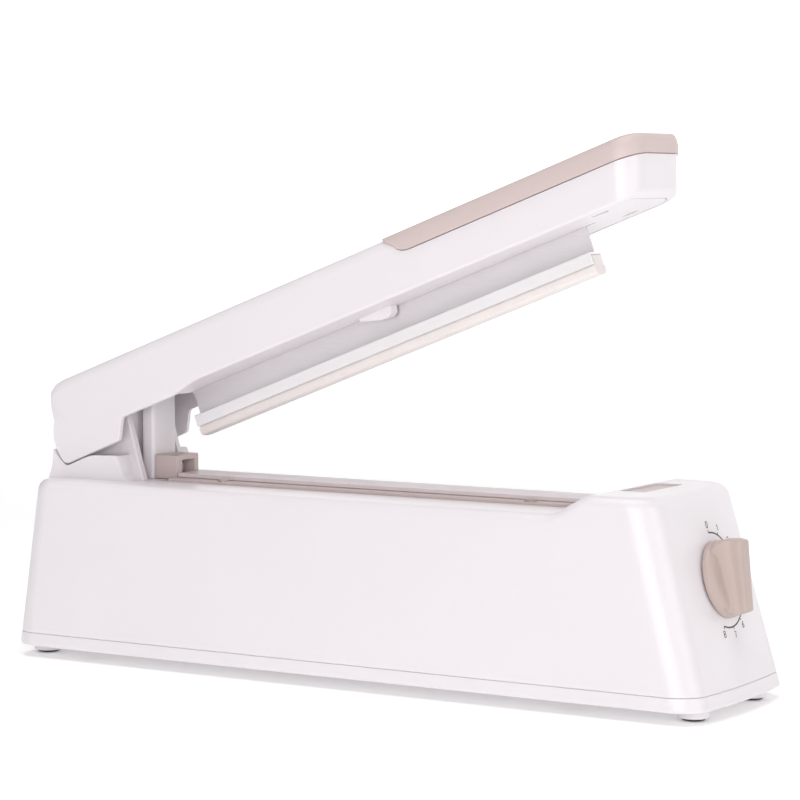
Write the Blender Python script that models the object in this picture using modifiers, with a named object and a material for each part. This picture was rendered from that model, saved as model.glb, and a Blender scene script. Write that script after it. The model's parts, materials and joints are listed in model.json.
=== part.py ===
"""Handheld bag heat sealer: base with heating rail, sprung press arm, dial timer.

Millimetres in the constants, metres in the scene.  X runs along the sealing rail from the hinge
(-X) to the timer end (+X), -Y is the front, Z is up and the feet stand on Z = 0.
The arm is drawn closed and then lifted about the hinge pin to its sprung-open rest position.
"""
import bpy
import bmesh
import math
from mathutils import Matrix, Vector

MM = 0.001
CENTRE_X = -0.84                   # puts the origin under the middle of the whole object
GAP = 0.3                          # working clearance between separate pieces

# ---- housing -------------------------------------------------------------------------------
FOOT_Z = 4.8                       # underside of the tray
HALF_L = 165.0                     # half length of the base at the tray
HALF_W = 43.3                      # half width of the base at the tray
SLOPE_L, SLOPE_R, SLOPE_Y = 0.121, 0.2855, 0.042     # draft of hinge end, timer end, long sides
PLAN_R = 11.6                      # vertical corner radius
CROWN_L, CROWN_R = 1.0, 3.0        # bulge of the two end faces
DECK_Z, RAISED_Z = 77.4, 85.6      # deck level and raised timer end
STEP_X0, STEP_X1 = 98.0, 119.0     # where the deck climbs to the raised end
EDGE_R = 4.2                       # rounding of the top edge
WALL = 2.4
PART_Z = 10.6                      # parting line between tray and shell

# ---- hinge and arm -------------------------------------------------------------------------
PIVOT_X, PIVOT_Z = -135.5, 100.0
OPEN_DEG = 20.8                    # how far the arm stands open at rest
ARM_W0, ARM_W1 = 26.3, 22.8        # half width at the hinge and at the tip
ARM_TOP = 124.2
TIP_R = 11.0                       # rounding of the arm's free end
ARM_X0, ARM_X1 = -154.3, 155.0
GRIP_Z = 116.0                     # lower edge of the grip cover
GRIP_X = 42.0                      # rear end of the grip cover
COVER_Z = 100.8                    # underside of the arm's lower cover

# ---- sealing line --------------------------------------------------------------------------
RAIL_X0, RAIL_X1 = -99.6, 106.8
RAIL_HALF = 8.0
RAIL_Z0, RAIL_Z1 = 78.7, 79.9
PLATEAU_Z = 78.6                   # raised bed of the inlay under the rail
PTFE_TOP = 80.4
BAR_X0, BAR_X1 = -94.0, 111.6
CHANNEL_Z0, CHANNEL_Z1 = 84.9, 90.0
STRIP_Z0 = 80.6                    # underside of the silicone with the arm closed

# ---- timer ---------------------------------------------------------------------------------
DIAL_Z = 51.0
KNOB_R = 15.4


def clear_scene():
    for ob in list(bpy.data.objects):
        bpy.data.objects.remove(ob, do_unlink=True)
    for me in list(bpy.data.meshes):
        bpy.data.meshes.remove(me)


clear_scene()
PARTS = bpy.data.collections.new("bag_heat_sealer")
CUTTERS = bpy.data.collections.new("cutters")
bpy.context.scene.collection.children.link(PARTS)
bpy.context.scene.collection.children.link(CUTTERS)

PALETTE = {
    "shell": ((0.86, 0.84, 0.85), 0.30, 0.0),
    "accent": ((0.67, 0.57, 0.53), 0.42, 0.0),
    "knob": ((0.60, 0.49, 0.45), 0.38, 0.0),
    "rubber": ((0.05, 0.05, 0.05), 0.85, 0.0),
    "silicone": ((0.80, 0.74, 0.70), 0.62, 0.0),
    "aluminium": ((0.80, 0.80, 0.82), 0.32, 1.0),
    "steel": ((0.62, 0.62, 0.64), 0.35, 1.0),
    "nichrome": ((0.50, 0.48, 0.46), 0.40, 1.0),
    "ptfe": ((0.70, 0.63, 0.62), 0.55, 0.0),
    "brass": ((0.70, 0.55, 0.28), 0.35, 1.0),
    "board": ((0.10, 0.28, 0.14), 0.55, 0.0),
    "copper": ((0.62, 0.30, 0.14), 0.40, 1.0),
    "dark_plastic": ((0.06, 0.06, 0.065), 0.50, 0.0),
    "lamp": ((0.75, 0.16, 0.08), 0.25, 0.0),
}


def material(slot, name):
    mat = bpy.data.materials.new(name)
    mat.use_nodes = True
    bsdf = next(n for n in mat.node_tree.nodes if n.type == "BSDF_PRINCIPLED")
    color, rough, metal = PALETTE[slot]
    bsdf.inputs["Base Color"].default_value = (*color, 1.0)
    bsdf.inputs["Roughness"].default_value = rough
    bsdf.inputs["Metallic"].default_value = metal
    return mat


def add(name, verts, faces, slot=None, lift=False):
    """Make one closed mesh object from millimetre coordinates."""
    if lift:
        a = math.radians(OPEN_DEG)
        c, s = math.cos(a), math.sin(a)
        verts = [(PIVOT_X + (x - PIVOT_X) * c - (z - PIVOT_Z) * s, y,
                  PIVOT_Z + (x - PIVOT_X) * s + (z - PIVOT_Z) * c) for x, y, z in verts]
    me = bpy.data.meshes.new(name)
    me.from_pydata([(Vector(v) - Vector((CENTRE_X, 0, 0))) * MM for v in verts], [], faces)
    bm = bmesh.new()
    bm.from_mesh(me)
    bmesh.ops.recalc_face_normals(bm, faces=bm.faces)
    bm.to_mesh(me)
    bm.free()
    ob = bpy.data.objects.new(name, me)
    if slot:
        me.materials.append(material(slot, name + "_mat"))
        PARTS.objects.link(ob)
    else:
        CUTTERS.objects.link(ob)
        ob.hide_render = True
        ob.display_type = 'WIRE'
    return ob


def boolean(ob, other, operation='DIFFERENCE'):
    mod = ob.modifiers.new(operation.lower() + "_" + other.name, 'BOOLEAN')
    mod.operation = operation
    mod.solver = 'EXACT'
    mod.object = other


def bevel(ob, width, segments=2, angle=40):
    mod = ob.modifiers.new("edges", 'BEVEL')
    mod.width = width * MM
    mod.segments = segments
    mod.limit_method = 'ANGLE'
    mod.angle_limit = math.radians(angle)


# ---- shape builders ------------------------------------------------------------------------
def box(x0, x1, y0, y1, z0, z1):
    v = [(x, y, z) for z in (z0, z1) for y in (y0, y1) for x in (x0, x1)]
    f = [(0, 2, 3, 1), (4, 5, 7, 6), (0, 1, 5, 4), (2, 6, 7, 3), (0, 4, 6, 2), (1, 3, 7, 5)]
    return v, f


def join(*solids):
    verts, faces = [], []
    for v, f in solids:
        n = len(verts)
        verts += v
        faces += [tuple(i + n for i in face) for face in f]
    return verts, faces


def loft(rings, cap0=True, cap1=True):
    n = len(rings[0])
    verts = [p for r in rings for p in r]
    faces = []
    for k in range(len(rings) - 1):
        for i in range(n):
            j = (i + 1) % n
            faces.append((k * n + i, k * n + j, (k + 1) * n + j, (k + 1) * n + i))
    if cap0:
        faces.append(tuple(range(n))[::-1])
    if cap1:
        faces.append(tuple((len(rings) - 1) * n + i for i in range(n)))
    return verts, faces


def prism_y(profile, y0, y1):
    """Side profile in (x, z) pushed along Y."""
    return loft([[(x, y0, z) for x, z in profile], [(x, y1, z) for x, z in profile]])


def prism_z(plan, z0, z1):
    return loft([[(x, y, z0) for x, y in plan], [(x, y, z1) for x, y in plan]])


def arc(cx, cy, r, a0, a1, n):
    return [(cx + r * math.cos(math.radians(a0 + (a1 - a0) * i / n)),
             cy + r * math.sin(math.radians(a0 + (a1 - a0) * i / n))) for i in range(n + 1)]


def rounded(x0, x1, y0, y1, r, n=4):
    return (arc(x1 - r, y1 - r, r, 0, 90, n) + arc(x0 + r, y1 - r, r, 90, 180, n)
            + arc(x0 + r, y0 + r, r, 180, 270, n) + arc(x1 - r, y0 + r, r, 270, 360, n))


def lathe(profile, origin, axis, n=32):
    """Profile of (radius, height) turned about an axis; both ends lie on the axis."""
    axis = Vector(axis).normalized()
    side = Vector((0, 1, 0)) if abs(axis.y) < 0.9 else Vector((0, 0, 1))
    u = side.cross(axis).normalized()
    v = axis.cross(u)
    o = Vector(origin)
    rings = []
    for r, h in profile:
        rings.append([tuple(o + axis * h + u * r * math.cos(2 * math.pi * i / n)
                            + v * r * math.sin(2 * math.pi * i / n)) for i in range(n)])
    return loft(rings)


def tube(profile, origin, axis, n=32):
    """Closed (radius, height) loop turned about an axis, with an open middle."""
    v, f = lathe(profile, origin, axis, n)
    f = f[:-2]
    m = len(profile)
    for i in range(n):
        j = (i + 1) % n
        f.append(((m - 1) * n + i, (m - 1) * n + j, j, i))
    return v, f


def coil(cx, cy, z0, z1, r, wire, turns, n=16, k=8):
    """Compression spring: a round wire swept along a helix with closed ends."""
    rings = []
    steps = int(turns * n)
    for i in range(steps + 1):
        t = i / steps
        a = 2 * math.pi * turns * t
        e = min(1.0, max(0.0, (t * turns - 0.8) / (turns - 1.6)))
        zc = z0 + wire + (z1 - z0 - 2 * wire) * e + wire * 1.6 * (t - e)
        out = Vector((math.cos(a), math.sin(a), 0))
        p = Vector((cx, cy, zc)) + out * r
        rings.append([tuple(p + out * wire * math.cos(2 * math.pi * j / k)
                            + Vector((0, 0, wire * math.sin(2 * math.pi * j / k))))
                      for j in range(k)])
    return loft(rings)


def smooth(t):
    t = min(1.0, max(0.0, t))
    return t * t * (3 - 2 * t)


# ---- housing -------------------------------------------------------------------------------
def deck_height(x):
    return DECK_Z + (RAISED_Z - DECK_Z) * smooth((x - STEP_X0) / (STEP_X1 - STEP_X0))


STATIONS = [-140, -118, -96, -60, -20, 20, 60, 88] + [96 + 1.75 * i for i in range(14)] + [124]


def end_points(xe, sign, hw, r, crown, inset, flip):
    """Corner, crowned end face and corner of one end, in plan."""
    rr = max(r - inset, 0.6)
    half = hw - inset
    pts = []
    lo = arc(0, 0, rr, 270, 360, 6)
    hi = arc(0, 0, rr, 0, 90, 6)
    for px, py in lo:
        pts.append((px, py - (half - rr)))
    for k in (1, 2, 3):
        pts.append((rr, -(half - rr) + 2 * (half - rr) * k / 4))
    for px, py in hi:
        pts.append((px, py + (half - rr)))
    out = []
    for px, py in pts:
        bulge = crown * (1 - (py / half) ** 2) * smooth((px + 0.001) / rr)
        out.append((xe + sign * (px - rr - inset + bulge), py * (1 if sign > 0 else -1)))
    return out


def housing_ring(zfun, inset):
    """One closed ring round the base; zfun gives the height of a point from its x."""
    pts = []
    zr, zl = zfun(150.0), zfun(-150.0)
    draft = lambda z: HALF_W - SLOPE_Y * (z - FOOT_Z)
    for x in STATIONS:
        z = zfun(x)
        pts.append((x, -(draft(z) - inset), z))
    xr = HALF_L - SLOPE_R * (zr - FOOT_Z)
    pts += [(x, y, zr) for x, y in end_points(xr, 1, draft(zr), PLAN_R, CROWN_R, inset, False)]
    for x in reversed(STATIONS):
        z = zfun(x)
        pts.append((x, draft(z) - inset, z))
    xl = -HALF_L + SLOPE_L * (zl - FOOT_Z)
    pts += [(x, y, zl) for x, y in end_points(xl, -1, draft(zl), PLAN_R, CROWN_L, inset, True)]
    return pts


def top_strips(start, n_side, n_end):
    """Faces across the top, pairing each front point with the rear point at the same x."""
    total = 2 * (n_side + n_end)
    front = list(range(n_side))
    rear = [2 * n_side + n_end - 1 - i for i in range(n_side)]
    right = list(range(n_side, n_side + n_end))
    left = list(range(2 * n_side + n_end, total))
    faces = []
    for i in range(n_side - 1):
        faces.append((front[i], front[i + 1], rear[i + 1], rear[i]))
    faces.append(tuple([front[-1]] + right + [rear[-1]]))
    faces.append(tuple([rear[0]] + left + [front[0]]))
    return [tuple(start + i for i in f) for f in faces]


def housing_skin(z_low, inset, drop, edge):
    """Rings from the rim up and over the rounded top edge."""
    rings = []
    for t in (0.0, 0.4, 0.75, 1.0):
        rings.append(housing_ring(lambda x: z_low + (deck_height(x) - drop - edge - z_low) * t,
                                  inset))
    for k in (1, 2, 3, 4):
        a = math.radians(90 * k / 4)
        rings.append(housing_ring(lambda x: deck_height(x) - drop - edge * (1 - math.sin(a)),
                                  inset + edge * (1 - math.cos(a))))
    return rings


def base_shell():
    outer = housing_skin(PART_Z + 0.3, 0.0, 0.0, EDGE_R)
    inner = housing_skin(PART_Z + 0.3, WALL, WALL, EDGE_R - 1.8)
    n = len(outer[0])
    n_side, n_end = len(STATIONS), (n - 2 * len(STATIONS)) // 2
    vo, fo = loft(outer, False, False)
    fo += top_strips((len(outer) - 1) * n, n_side, n_end)
    vi, fi = loft(inner, False, False)
    fi += top_strips((len(inner) - 1) * n, n_side, n_end)
    verts, faces = join((vo, fo), (vi, fi))
    off = len(vo)
    for i in range(n):
        j = (i + 1) % n
        faces.append((i, j, off + j, off + i))
    shell = add("base_shell", verts, faces, "shell")

    # neck at the rear and hinge tongue between the arm's cheeks
    neck = [(-156.6, 70.0), (-156.6, 76.5), (-155.9, 78.8), (-154.9, 81.8), (-154.1, 86.0),
            (-153.9, 89.7)]
    neck += arc(PIVOT_X, PIVOT_Z, 20.6, 210, 234, 6)
    neck += [(-145.8, 82.9), (-137.5, 86.3), (-134.5, 87.4), (-131.0, 88.0), (-120.0, 88.3),
             (-118.9, 87.5), (-116.0, 79.6), (-115.0, 78.0), (-113.2, 77.0), (-113.2, 70.0)]
    neck_ob = add("neck", *prism_y(neck, -26.2, 26.2))
    bevel(neck_ob, 0.5, 2, 60)
    tongue = [(-155.6, 70.0), (-155.6, 90.0), (-155.2, 95.6), (-153.6, 96.4)]
    tongue += arc(PIVOT_X, PIVOT_Z, 16.6, 188, 62, 16)
    tongue += [(-126.0, 110.2), (-121.8, 110.2), (-120.4, 105.0), (-114.4, 85.0), (-112.6, 79.2),
               (-112.0, 77.2), (-112.0, 70.0)]
    tongue_ob = add("tongue", *prism_y(tongue, -16.5, 16.5))
    bevel(tongue_ob, 1.2, 2, 60)
    boolean(neck_ob, tongue_ob, 'UNION')
    mouth = add("tongue_mouth", *box(-121.6, -100.0, -13.3, 13.3, DECK_Z + 0.02, 107.6))
    boolean(neck_ob, mouth)
    boolean(shell, neck_ob, 'UNION')
    core = add("tongue_core", *box(-150.0, -124.5, -13.3, 13.3, 60.0, 92.0))
    boolean(shell, core)
    hinge_bore = add("hinge_bore", *lathe([(2.75, -40), (2.75, 40)], (PIVOT_X, 0, PIVOT_Z),
                                          (0, 1, 0), 32))
    boolean(shell, hinge_bore)

    # opening for the inlay, window, timer shaft and cord gland
    plan = rounded(-104.8, 113.8, -15.3, 15.3, 1.0)
    boolean(shell, add("inlay_opening", *prism_z(plan, 60.0, 95.0)))
    boolean(shell, add("window_opening", *prism_z(rounded(119.2, 130.6, -17.3, 17.3, 1.6),
                                                  78.0, 95.0)))
    boolean(shell, add("shaft_hole", *lathe([(4.2, -20), (4.2, 20)], DIAL_ORIGIN, DIAL_AXIS, 28)))
    boolean(shell, add("gland_hole", *lathe([(5.3, -20), (5.3, 20)], (-162.0, 0, 24.0),
                                            (1, 0, 0), 28)))
    # screw bosses reach down from the roof to the tray
    for i, (x, y) in enumerate(SCREW_XY):
        top = deck_height(x) - WALL + 0.6
        boss = add("boss_%d" % i, *lathe([(4.2, 13.6 - top), (4.2, 0)], (x, y, top),
                                         (0, 0, 1), 20))
        boolean(shell, boss, 'UNION')
        boolean(shell, add("pilot_%d" % i, *lathe([(1.75, 0), (1.75, 16)], (x, y, 8.0),
                                                  (0, 0, 1), 16)))
    return shell


DIAL_AXIS = Vector((1, 0, SLOPE_R)).normalized()
DIAL_ORIGIN = Vector((HALF_L - SLOPE_R * (DIAL_Z - FOOT_Z) + CROWN_R, 0, DIAL_Z))
SCREW_XY = [(-128.0, -31.0), (-128.0, 31.0), (106.0, -31.0), (106.0, 31.0)]
FOOT_XY = [(156.5, -26.5), (-157.0, -26.5), (156.5, 26.5), (-157.0, 26.5)]


def base_tray():
    rings = [housing_ring(lambda x: FOOT_Z, 1.2), housing_ring(lambda x: FOOT_Z + 0.4, 0.35),
             housing_ring(lambda x: FOOT_Z + 1.2, 0.0), housing_ring(lambda x: PART_Z, 0.0),
             housing_ring(lambda x: PART_Z, WALL + GAP), housing_ring(lambda x: 13.2, WALL + GAP),
             housing_ring(lambda x: 13.2, WALL + 2.0), housing_ring(lambda x: 7.4, WALL + 2.0)]
    tray = add("base_tray", *loft(rings), "shell")
    for i, (x, y) in enumerate(FOOT_XY):
        cup = add("foot_cup_%d" % i, *lathe([(5.5, 1.2), (6.2, 1.7), (6.2, 6.0)], (x, y, 0),
                                            (0, 0, 1), 28))
        boolean(tray, cup, 'UNION')
        boolean(tray, add("foot_pocket_%d" % i, *lathe([(5.2, 0.0), (5.2, 3.7)], (x, y, 0),
                                                       (0, 0, 1), 28)))
    for i, (x, y) in enumerate(SCREW_XY):
        pad = add("screw_pad_%d" % i, *lathe([(5.0, 6.0), (5.0, 13.0)], (x, y, 0), (0, 0, 1), 24))
        boolean(tray, pad, 'UNION')
        boolean(tray, add("screw_bore_%d" % i, *lathe([(3.6, 3.0), (3.6, 9.0), (1.85, 9.01),
                                                       (1.85, 16.0)], (x, y, 0), (0, 0, 1), 20)))
    for i in range(7):
        x = -45 + 9 * i
        slot = prism_z(rounded(x - 1.2, x + 1.2, -16, 16, 1.1), 2.0, 10.0)
        boolean(tray, add("vent_%d" % i, *slot))
    return tray


def feet_and_screws():
    for name, (x, y) in zip(("foot_front_right", "foot_front_left", "foot_rear_right",
                             "foot_rear_left"), FOOT_XY):
        add(name, *lathe([(3.4, 0.0), (4.4, 0.3), (4.9, 0.9), (4.9, 3.4)], (x, y, 0), (0, 0, 1), 28),
            slot="rubber")
    for i, (x, y) in enumerate(SCREW_XY):
        add("tray_screw_%d" % (i + 1),
            *lathe([(2.6, 6.3), (3.2, 6.9), (3.2, 8.7), (1.45, 8.71), (1.45, 22.5)],
                   (x, y, 0), (0, 0, 1), 18), slot="steel")


# ---- sealing line --------------------------------------------------------------------------
def deck_inlay():
    plan = rounded(-104.5, 113.5, -15.0, 15.0, 0.7)
    inlay = add("deck_inlay", *prism_z(plan, 74.0, 77.2), "accent")
    flange = add("inlay_flange", *prism_z(rounded(-108.0, 116.5, -19.0, 19.0, 4.0), 72.4, 74.4))
    boolean(inlay, flange, 'UNION')
    boolean(inlay, add("inlay_plateau", *box(-99.7, 112.8, -14.99, 14.99, 75.0, PLATEAU_Z)), 'UNION')
    # side and end walls follow the climb to the raised end
    xs = [97.0 + 1.3 * i for i in range(13)]
    for i, (ya, yb) in enumerate(((-15.0, -13.2), (13.2, 15.0))):
        prof = [(x, deck_height(x) - 0.35) for x in xs] + [(xs[-1], 75.0), (xs[0], 75.0)]
        boolean(inlay, add("inlay_wall_%d" % i, *prism_y(prof, ya, yb)), 'UNION')
    boolean(inlay, add("inlay_end_wall", *box(112.5, 113.5, -14.0, 14.0, 75.0, 84.0)), 'UNION')
    for i, (x, y) in enumerate(INLAY_SCREWS):
        boolean(inlay, add("inlay_bore_%d" % i, *lathe([(1.6, 60.0), (1.6, 90.0)], (x, y, 0),
                                                       (0, 0, 1), 16)))
    return inlay


INLAY_SCREWS = [(-73.0, -11.7), (77.0, -11.7), (-73.0, 11.7), (77.0, 11.7)]


def sealing_line():
    deck_inlay()
    for i, (x, y) in enumerate(INLAY_SCREWS):
        add("inlay_screw_%d" % (i + 1),
            *lathe([(1.3, 71.0), (1.3, 78.64), (2.7, 78.65), (2.7, 79.0), (2.0, 79.25)],
                   (x, y, 0), (0, 0, 1), 20), slot="brass")
    add("seal_rail", *box(RAIL_X0, RAIL_X1, -RAIL_HALF, RAIL_HALF, RAIL_Z0, RAIL_Z1),
        slot="aluminium")
    add("heater_strip", *box(-106.0, 108.2, -1.4, 1.4, RAIL_Z1 + 0.05, RAIL_Z1 + 0.2),
        slot="nichrome")
    # non-stick cover folded over the rail
    z, e = PTFE_TOP, RAIL_HALF + 0.1
    sec = [(-e - 0.25, z - 1.6), (-e, z - 1.6), (-e, z - 0.2), (e, z - 0.2), (e, z - 1.6),
           (e + 0.25, z - 1.6), (e + 0.25, z - 0.15), (e + 0.1, z), (-e - 0.1, z),
           (-e - 0.25, z - 0.15)]
    add("ptfe_cover", *loft([[(-99.4, y, zz) for y, zz in sec],
                             [(RAIL_X1, y, zz) for y, zz in sec]]), slot="ptfe")
    block = add("end_block", *box(-111.8, -100.1, -8.2, 8.2, DECK_Z + 0.1, 87.9), "accent")
    bevel(block, 0.5, 2)
    boolean(block, add("block_hole", *box(-107.5, -95.0, -4.2, 5.0, 79.5, 85.7)))
    boolean(block, add("block_bore", *lathe([(1.5, 70.0), (1.5, 82.0)], (-109.6, 0, 0),
                                            (0, 0, 1), 14)))
    # brass clamps hold the two ends of the strip
    add("strip_clamp_hinge", *box(-107.2, -105.0, -3.4, 3.4, 80.4, 83.4), slot="steel")
    clamp = add("strip_clamp_knob", *box(107.2, 111.6, -5.0, 5.0, RAIL_Z0, RAIL_Z1), "brass")
    boolean(clamp, add("clamp_bore", *lathe([(1.3, 70.0), (1.3, 90.0)], (109.4, 0, 0),
                                            (0, 0, 1), 14)))
    add("clamp_screw", *lathe([(1.0, 78.75), (1.0, 80.14), (1.8, 80.15), (1.5, 80.45)],
                              (109.4, 0, 0), (0, 0, 1), 16), slot="steel")


# ---- hinge post, spring, switch ------------------------------------------------------------
def hinge_group():
    add("hinge_pin", *lathe([(2.3, -22.2), (2.66, -21.8), (2.66, 21.8), (2.3, 22.2)],
                            (PIVOT_X, 0, PIVOT_Z), (0, 1, 0), 32), slot="steel")
    post = add("guide_post", *prism_z(rounded(-119.0, -112.2, -8.4, 8.4, 1.8, 5),
                                      DECK_Z + 0.1, 117.0), "shell")
    boolean(post, add("post_bore", *lathe([(2.7, 96.0), (2.7, 125.0)], (-115.9, 0, 0),
                                          (0, 0, 1), 20)))
    add("return_spring", *coil(-115.9, 0, 96.2, 128.9, 2.0, 0.35, 11), slot="steel")
    switch = add("switch_body", *box(-129.0 + 3.6, -120.8, -10, 10, 110.5, 117.6), "dark_plastic")
    bevel(switch, 0.4, 1)
    boolean(switch, add("button_well", *box(-124.6, -121.6, 2.4, 6.6, 113.0, 125.0)))
    button = add("switch_button", *box(-124.3, -121.9, 2.7, 6.3, 115.0, 120.8), "accent")
    bevel(button, 0.4, 2)


# ---- timer end -----------------------------------------------------------------------------
def along(origin, axis, verts):
    """Carry local (across, along bar, out) coordinates onto the dial's tilted plane."""
    side = Vector((0, 1, 0))
    up = axis.cross(side) * -1 if axis.cross(side).z < 0 else axis.cross(side)
    return [tuple(Vector(origin) + side * a + up * b + axis * c) for a, b, c in verts]


def timer_group():
    o, n = DIAL_ORIGIN, DIAL_AXIS
    disc = lathe([(3.2, 0.6), (KNOB_R - 0.2, 0.6), (KNOB_R, 1.0), (KNOB_R, 2.4),
                  (KNOB_R - 2.2, 4.6), (9.0, 4.9)], o, n, 56)
    knob = add("timer_knob", *disc, "knob")
    half = [(9.5, 3.8), (7.4, 4.9), (5.6, 6.6), (4.5, 8.8), (4.0, 11.2), (3.9, 13.6), (3.4, 15.0),
            (2.6, 15.4)]
    sec = half + [(-a, c) for a, c in reversed(half)]
    rings = []
    for b in (-16.0, 16.0):            # the crest is lower at the foot of the bar
        k = 0.73 + 0.27 * b / 16.0
        rings.append(along(o, n, [(a, b, 3.8 + (c - 3.8) * k) for a, c in sec]))
    bar_v, bar_f = loft(rings)
    bar = add("knob_bar", bar_v, bar_f)
    trim = add("knob_trim", *lathe([(15.2, 2.0), (15.0, 5.0), (14.0, 15.0), (12.8, 17.0)], o, n,
                                   56))
    boolean(bar, trim, 'INTERSECT')
    boolean(knob, bar, 'UNION')
    boolean(knob, add("knob_bore", *lathe([(3.2, -2.0), (3.2, 9.0)], o, n, 32)))
    add("timer_shaft", *lathe([(3.12, -11.0), (3.12, 8.6)], o, n, 32), slot="steel")
    pot = tube([(3.2, -20.0), (9.0, -20.0), (9.0, -9.0), (3.9, -8.9), (3.9, -0.6), (3.2, -0.6)],
               o, n, 32)
    add("timer_body", *pot, slot="dark_plastic")
    window = add("lamp_window", *prism_z(rounded(119.5, 130.3, -17.0, 17.0, 1.4), 81.4, 84.9),
                 "accent")
    bevel(window, 0.3, 1, 60)
    add("indicator_lamp", *lathe([(2.4, 70.0), (2.4, 78.5), (1.6, 80.6), (0.6, 81.0)],
                                 (124.9, 0, 0), (0, 0, 1), 20), slot="lamp")
    lug = add("window_tray", *prism_z(rounded(117.0, 132.6, -19.4, 19.4, 2.0), 80.0, 81.1),
              "dark_plastic")
    boolean(lug, add("lamp_hole", *lathe([(2.9, 70.0), (2.9, 90.0)], (124.9, 0, 0),
                                         (0, 0, 1), 20)))


# ---- electrics inside the base -------------------------------------------------------------
def electrics():
    core = add("transformer_core", *box(-70, -22, -17, 17, 14.0, 54.0), "steel")
    for i, x in enumerate((-62.0, -39.0)):
        boolean(core, add("core_window_%d" % i, *box(x, x + 9.0, -30, 30, 22.0, 46.0)))
    coil_v, coil_f = box(-61.7, -30.3, -22.0, 22.0, 22.4, 45.6)
    winding = add("transformer_coil", coil_v, coil_f, "copper")
    boolean(winding, add("coil_bore", *box(-53.3, -38.7, -17.4, 17.4, 10.0, 60.0)))
    board = add("circuit_board", *box(10.0, 96.0, -26.0, 26.0, 30.0, 31.6), "board")
    for i, (x, y) in enumerate(((14, -22), (14, 22), (92, -22), (92, 22))):
        boolean(board, add("board_hole_%d" % i, *lathe([(1.6, 20.0), (1.6, 40.0)], (x, y, 0),
                                                       (0, 0, 1), 14)))
    add("relay", *box(30.0, 49.0, -8.0, 8.0, 31.9, 47.0), slot="dark_plastic")
    add("capacitor", *lathe([(5.6, 32.0), (6.0, 32.4), (6.0, 50.0), (5.4, 50.6)], (72.0, 6.0, 0),
                            (0, 0, 1), 24), slot="dark_plastic")
    end_x = -HALF_L + SLOPE_L * (24.0 - FOOT_Z) - CROWN_L
    gland = tube([(3.4, 7.0), (3.4, -6.0), (4.6, -6.0), (7.2, -3.8), (7.2, -1.5), (5.0, -1.5),
                  (5.0, 3.4), (6.2, 3.8), (6.2, 7.0)], (end_x, 0, 24.0), (1, 0, 0), 48)
    add("cord_gland", *gland, slot="dark_plastic")


# ---- arm -----------------------------------------------------------------------------------
def arm_half_width(x):
    return ARM_W0 - (ARM_W0 - ARM_W1) * min(1.0, max(0.0, (x + 110.0) / 265.0))


def arm_low(x):
    if x < -113.0:
        return 98.0
    return 98.0 + 2.6 * smooth((x + 90.0) / 18.0)


def arm_high(x):
    table = [(-154.3, 105.6), (-153.6, 109.5), (-152.4, 115.0), (-151.0, 119.6),
             (-149.4, 122.2), (-146.8, 123.7), (-142.8, ARM_TOP), (400.0, ARM_TOP)]
    for (xa, za), (xb, zb) in zip(table, table[1:]):
        if x <= xb:
            return za + (zb - za) * (x - xa) / (xb - xa)
    return ARM_TOP


def arm_section(x, inset=0.0, proud=0.0, low=None, high=None, top_r=5.0, low_r=1.2, side=0.0):
    """Closed (y, z) outline of the beam at one station, counted from the lower right."""
    w = arm_half_width(x) - inset + proud - side
    z0 = arm_low(x) if low is None else low
    z1 = (arm_high(x) - inset + proud) if high is None else high
    rt = max(0.4, min(top_r - inset + proud, w - 0.5, (z1 - z0) / 2 - 0.1))
    rl = max(0.2, min(low_r, (z1 - z0) / 2 - 0.1))
    pts = arc(w - rt, z1 - rt, rt, 0, 90, 5) + arc(-(w - rt), z1 - rt, rt, 90, 180, 5)
    pts += arc(-(w - rl), z0 + rl, rl, 180, 270, 2) + arc(w - rl, z0 + rl, rl, 270, 360, 2)
    return pts


def lean(x, z):
    """The tip's end face leans outwards towards the top."""
    return x + 7.4 * smooth((x - 118.0) / 34.0) * (z - ARM_TOP) / 21.0


def beam(stations, **kw):
    rings = []
    for x, side, extra in stations:
        args = dict(kw)
        if extra:
            args["low"] = args.get("low", arm_low(x)) + extra if args.get("low") else \
                arm_low(x) + extra
            args["high"] = (args.get("high") or arm_high(x) - kw.get("inset", 0.0)
                            + kw.get("proud", 0.0)) - extra
        sec = arm_section(x, side=side, **args)
        rings.append([(lean(x, z), y, z) for y, z in sec])
    return loft(rings)


def arm_stations(x_end, tip_r):
    st = [(-154.3, 5.0, 0.0), (-153.6, 3.2, 0.0), (-152.4, 1.8, 0.0), (-151.0, 0.9, 0.0),
          (-149.4, 0.4, 0.0), (-146.8, 0.1, 0.0), (-142.8, 0.0, 0.0)]
    st += [(x, 0.0, 0.0) for x in (-113, -96, -90, -87, -84, -81, -78, -75, -72, -30, 20, 60, 100,
                                   118, 124, 130, 136, 140)]
    for a in (0, 15, 30, 45, 60, 75, 90):
        s = math.sin(math.radians(a))
        c = 1 - math.cos(math.radians(a))
        st.append((x_end - tip_r * (1 - s), tip_r * c, tip_r * 0.25 * c))
    return st


def grip_region(x_shift, z_low):
    """Side profile of the zone taken by the grip cover, rounded at its lower rear corner."""
    return ([(GRIP_X - 11.4 + x_shift, 140.0)] + [(GRIP_X - 10.6 + x_shift, 125.5)]
            + [(GRIP_X - 3.6 + x_shift, z_low + 3.4), (GRIP_X - 2.0 + x_shift, z_low + 1.5),
               (GRIP_X + 0.2 + x_shift, z_low + 0.4), (GRIP_X + 3.0 + x_shift, z_low)]
            + [(190.0, z_low), (190.0, 140.0)])


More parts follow.
